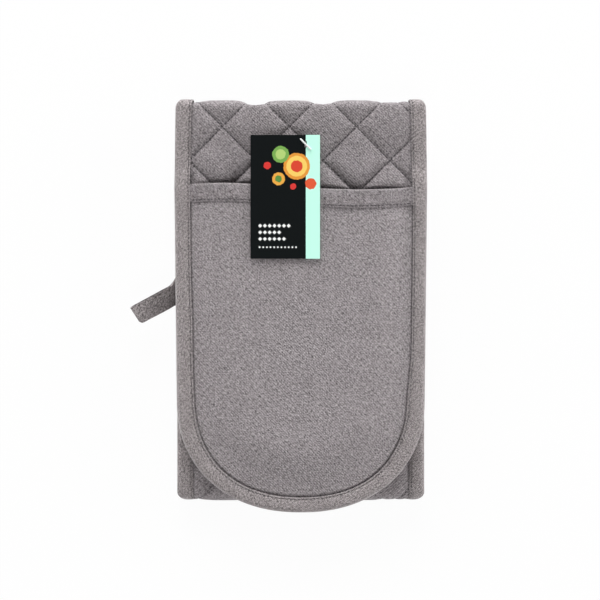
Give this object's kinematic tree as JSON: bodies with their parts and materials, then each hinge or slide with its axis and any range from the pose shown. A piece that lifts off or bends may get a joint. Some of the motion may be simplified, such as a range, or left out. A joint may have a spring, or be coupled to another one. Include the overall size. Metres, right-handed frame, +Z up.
{
  "type": "double oven glove",
  "caption": "Double oven glove folded in three: one quilted, bound strip with a padded mitten pocket on each rounded end, a hanging loop and a swing card.",
  "frame": {"origin": "centre of the folded glove's overall box, at the level of the surface it lies on", "axes": "+X across the strip, away from the hanging loop; +Y from the front flap's tip to the top fold; +Z up, out of the front pocket's face"},
  "size_m": [0.2159, 0.299, 0.0412],
  "materials": {
    "cloth": "matt grey twill, mottled light and dark",
    "binding": "matt grey fine twill tape",
    "wadding": "white felt",
    "card": "black coated card",
    "plastic": "white translucent plastic"
  },
  "bodies": {
    "front_flap": {"front_shell": "cloth", "front_wadding": "wadding", "front_lining": "cloth", "front_pocket_face": "cloth", "front_pocket_wadding": "wadding", "front_pocket_lining": "cloth", "front_pocket_hem": "cloth", "front_binding": "binding", "card_fastener": "plastic"},
    "swing_card": {"swing_card": "card"},
    "top_fold": {"top_fold_shell": "cloth", "top_fold_wadding": "wadding", "top_fold_lining": "cloth", "top_fold_binding_left": "binding", "top_fold_binding_right": "binding"},
    "middle_panel": {"middle_shell": "cloth", "middle_wadding": "wadding", "middle_lining": "cloth", "middle_binding_left": "binding", "middle_binding_right": "binding"},
    "bottom_fold": {"bottom_fold_shell": "cloth", "bottom_fold_wadding": "wadding", "bottom_fold_lining": "cloth", "bottom_fold_binding_left": "binding", "bottom_fold_binding_right": "binding"},
    "back_flap": {"back_shell": "cloth", "back_wadding": "wadding", "back_lining": "cloth", "back_pocket_face": "cloth", "back_pocket_wadding": "wadding", "back_pocket_lining": "cloth", "back_pocket_hem": "cloth", "back_binding": "binding"},
    "hanging_loop": {"hanging_loop": "binding"}
  },
  "joints": [
    {"name": "top_fold_crease", "type": "hinge", "parent": "middle_panel", "child": "top_fold", "pos_m": [0.01645, 0.14512, 0.02028], "axis": [-1, 0, 0], "range_deg": [0, 90], "deforming": ["top_fold_shell", "top_fold_wadding", "top_fold_lining", "top_fold_binding_left", "top_fold_binding_right"]},
    {"name": "front_flap_crease", "type": "hinge", "parent": "top_fold", "child": "front_flap", "pos_m": [0.01645, 0.14512, 0.02602], "axis": [-1, 0, 0], "range_deg": [0, 90]},
    {"name": "bottom_fold_crease", "type": "hinge", "parent": "middle_panel", "child": "bottom_fold", "pos_m": [0.01645, -0.13768, 0.01778], "axis": [-1, 0, 0], "range_deg": [0, 90], "deforming": ["bottom_fold_shell", "bottom_fold_wadding", "bottom_fold_lining", "bottom_fold_binding_left", "bottom_fold_binding_right"]},
    {"name": "back_flap_crease", "type": "hinge", "parent": "bottom_fold", "child": "back_flap", "pos_m": [0.01645, -0.13768, 0.00522], "axis": [-1, 0, 0], "range_deg": [0, 90]},
    {"name": "loop_swing", "type": "hinge", "parent": "middle_panel", "child": "hanging_loop", "pos_m": [-0.075, 0.00987, 0.0195], "axis": [0, 1, 0], "range_deg": [-30, 60]},
    {"name": "card_swing", "type": "hinge", "parent": "front_flap", "child": "swing_card", "pos_m": [0.01995, 0.1153, 0.0395], "axis": [0, 0, 1], "range_deg": [-45, 45]}
  ],
  "couplings": [
    {"joint": "front_flap_crease", "follows": "top_fold_crease", "ratio": 1},
    {"joint": "back_flap_crease", "follows": "bottom_fold_crease", "ratio": 1}
  ]
}
